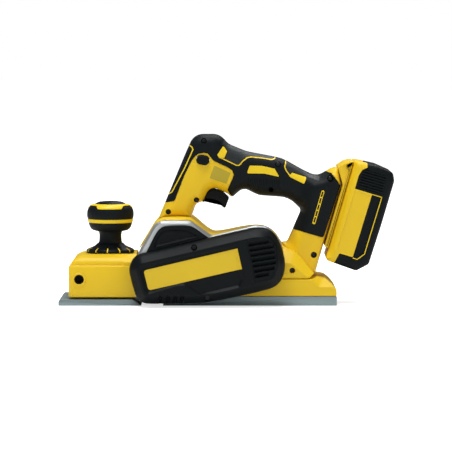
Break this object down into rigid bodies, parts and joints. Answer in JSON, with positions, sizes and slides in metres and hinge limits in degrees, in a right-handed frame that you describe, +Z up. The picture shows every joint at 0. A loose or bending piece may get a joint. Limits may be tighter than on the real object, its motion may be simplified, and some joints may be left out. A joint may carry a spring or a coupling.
{
  "type": "cordless hand planer",
  "caption": "Cordless hand planer: flat shoes with a cutter drum between them, an arched handle with trigger, a front depth knob, a side belt cover and a slide-on battery at the rear.",
  "frame": {"origin": "on the rear shoe's sole face, midway between the sole's centre line and below the handle; Y = 0 is the middle of the cutter's width", "axes": "+X to the rear, towards the battery; +Z up, away from the workpiece; -Y is the tool's left side, with the belt cover"},
  "size_m": [0.3553, 0.148, 0.1802],
  "materials": {
    "yellow_nylon": "glass-filled nylon with a fine moulded grain",
    "black_nylon": "black glass-filled nylon, fine grain",
    "black_rubber": "soft moulded elastomer, matt",
    "sole_aluminium": "milled and anodised, blue-grey",
    "frame_casting": "fine die casting, satin silver",
    "plain_steel": "ground steel",
    "threaded_brass": "turned brass",
    "motor_windings": "laminations with lacquered copper windings",
    "belt_rubber": "moulded ribbed belt"
  },
  "bodies": {
    "root": {"battery_flange": "yellow_nylon", "front_housing": "yellow_nylon", "handle_shell_left": "yellow_nylon", "handle_shell_right": "yellow_nylon", "rear_base_housing": "yellow_nylon", "belt_cover": "black_nylon", "chip_chute": "black_nylon", "chip_port_cap": "black_nylon", "control_module": "black_nylon", "drum_end_cap": "black_nylon", "switch_module": "black_nylon", "terminal_block": "black_nylon", "foot_pad_left": "black_rubber", "foot_pad_right": "black_rubber", "grip_skin_left": "black_rubber", "grip_skin_right": "black_rubber", "rear_shoe": "sole_aluminium", "main_frame": "frame_casting", "cover_screw_lower": "plain_steel", "cover_screw_upper": "plain_steel", "drum_bearing_left": "plain_steel", "drum_bearing_right": "plain_steel", "kickstand_pin": "plain_steel", "motor_bearing_left": "plain_steel", "motor_bearing_right": "plain_steel", "handle_screw_1": "plain_steel", "handle_screw_2": "plain_steel", "handle_screw_3": "plain_steel", "handle_screw_4": "plain_steel", "handle_screw_5": "plain_steel", "handle_screw_6": "plain_steel", "fence_insert_left": "threaded_brass", "fence_insert_right": "threaded_brass", "motor_stator": "motor_windings", "drive_belt": "belt_rubber"},
    "front_shoe_body": {"front_shoe": "sole_aluminium"},
    "depth_knob": {"knob_stud": "plain_steel", "depth_dial": "black_nylon", "knob_neck": "black_rubber", "knob_band_lower": "yellow_nylon", "knob_grip": "black_rubber", "knob_band_upper": "yellow_nylon", "knob_cap": "black_nylon"},
    "cutter": {"cutter_drum": "plain_steel", "cutter_blade_1": "plain_steel", "cutter_blade_2": "plain_steel", "blade_clamp_1": "plain_steel", "blade_clamp_2": "plain_steel", "drum_pulley": "sole_aluminium"},
    "rotor": {"motor_shaft": "plain_steel", "rotor_core": "plain_steel", "cooling_fan": "black_nylon", "motor_pulley": "sole_aluminium"},
    "trigger_body": {"trigger": "black_nylon"},
    "lock_body": {"lock_button": "black_nylon"},
    "battery_pack": {"battery_inner_case": "yellow_nylon", "battery_outer_case": "black_nylon", "battery_cells": "plain_steel"},
    "release_body": {"battery_release_button": "black_nylon"},
    "kickstand_body": {"kickstand": "black_nylon"}
  },
  "joints": [
    {"name": "depth_knob_turn", "type": "hinge", "parent": "root", "child": "depth_knob", "pos_m": [-0.151, 0, 0.08], "axis": [0, 0, 1], "range_deg": [0, 340]},
    {"name": "front_shoe_lift", "type": "slide", "parent": "root", "child": "front_shoe_body", "axis": [0, 0, 1], "range_m": [0, 0.002]},
    {"name": "drum_spin", "type": "hinge", "parent": "root", "child": "cutter", "pos_m": [-0.1042, 0, 0.0235], "axis": [0, 1, 0], "continuous": true},
    {"name": "rotor_spin", "type": "hinge", "parent": "root", "child": "rotor", "pos_m": [0.01, 0, 0.049], "axis": [0, 1, 0], "continuous": true},
    {"name": "trigger_squeeze", "type": "slide", "parent": "root", "child": "trigger_body", "axis": [0.4191, 0, 0.9079], "range_m": [0, 0.006], "stiffness_N_per_m": 400, "springref_m": -0.002},
    {"name": "lock_button_push", "type": "slide", "parent": "root", "child": "lock_body", "axis": [0, 1, 0], "range_m": [-0.0025, 0.0025], "stiffness_N_per_m": 300},
    {"name": "battery_slide", "type": "slide", "parent": "root", "child": "battery_pack", "axis": [0.28, 0, 0.96], "range_m": [0, 0.09]},
    {"name": "release_button_press", "type": "slide", "parent": "battery_pack", "child": "release_body", "axis": [-0.28, 0, -0.96], "range_m": [0, 0.0022], "stiffness_N_per_m": 800, "springref_m": -0.001},
    {"name": "kickstand_fold", "type": "hinge", "parent": "root", "child": "kickstand_body", "pos_m": [0.068, -0.0345, 0.0144], "axis": [0, 1, 0], "range_deg": [0, 55]}
  ],
  "couplings": [
    {"joint": "depth_knob_turn", "follows": "front_shoe_lift", "rad_per_m": 2967.1},
    {"joint": "rotor_spin", "follows": "drum_spin", "ratio": 1.6}
  ]
}
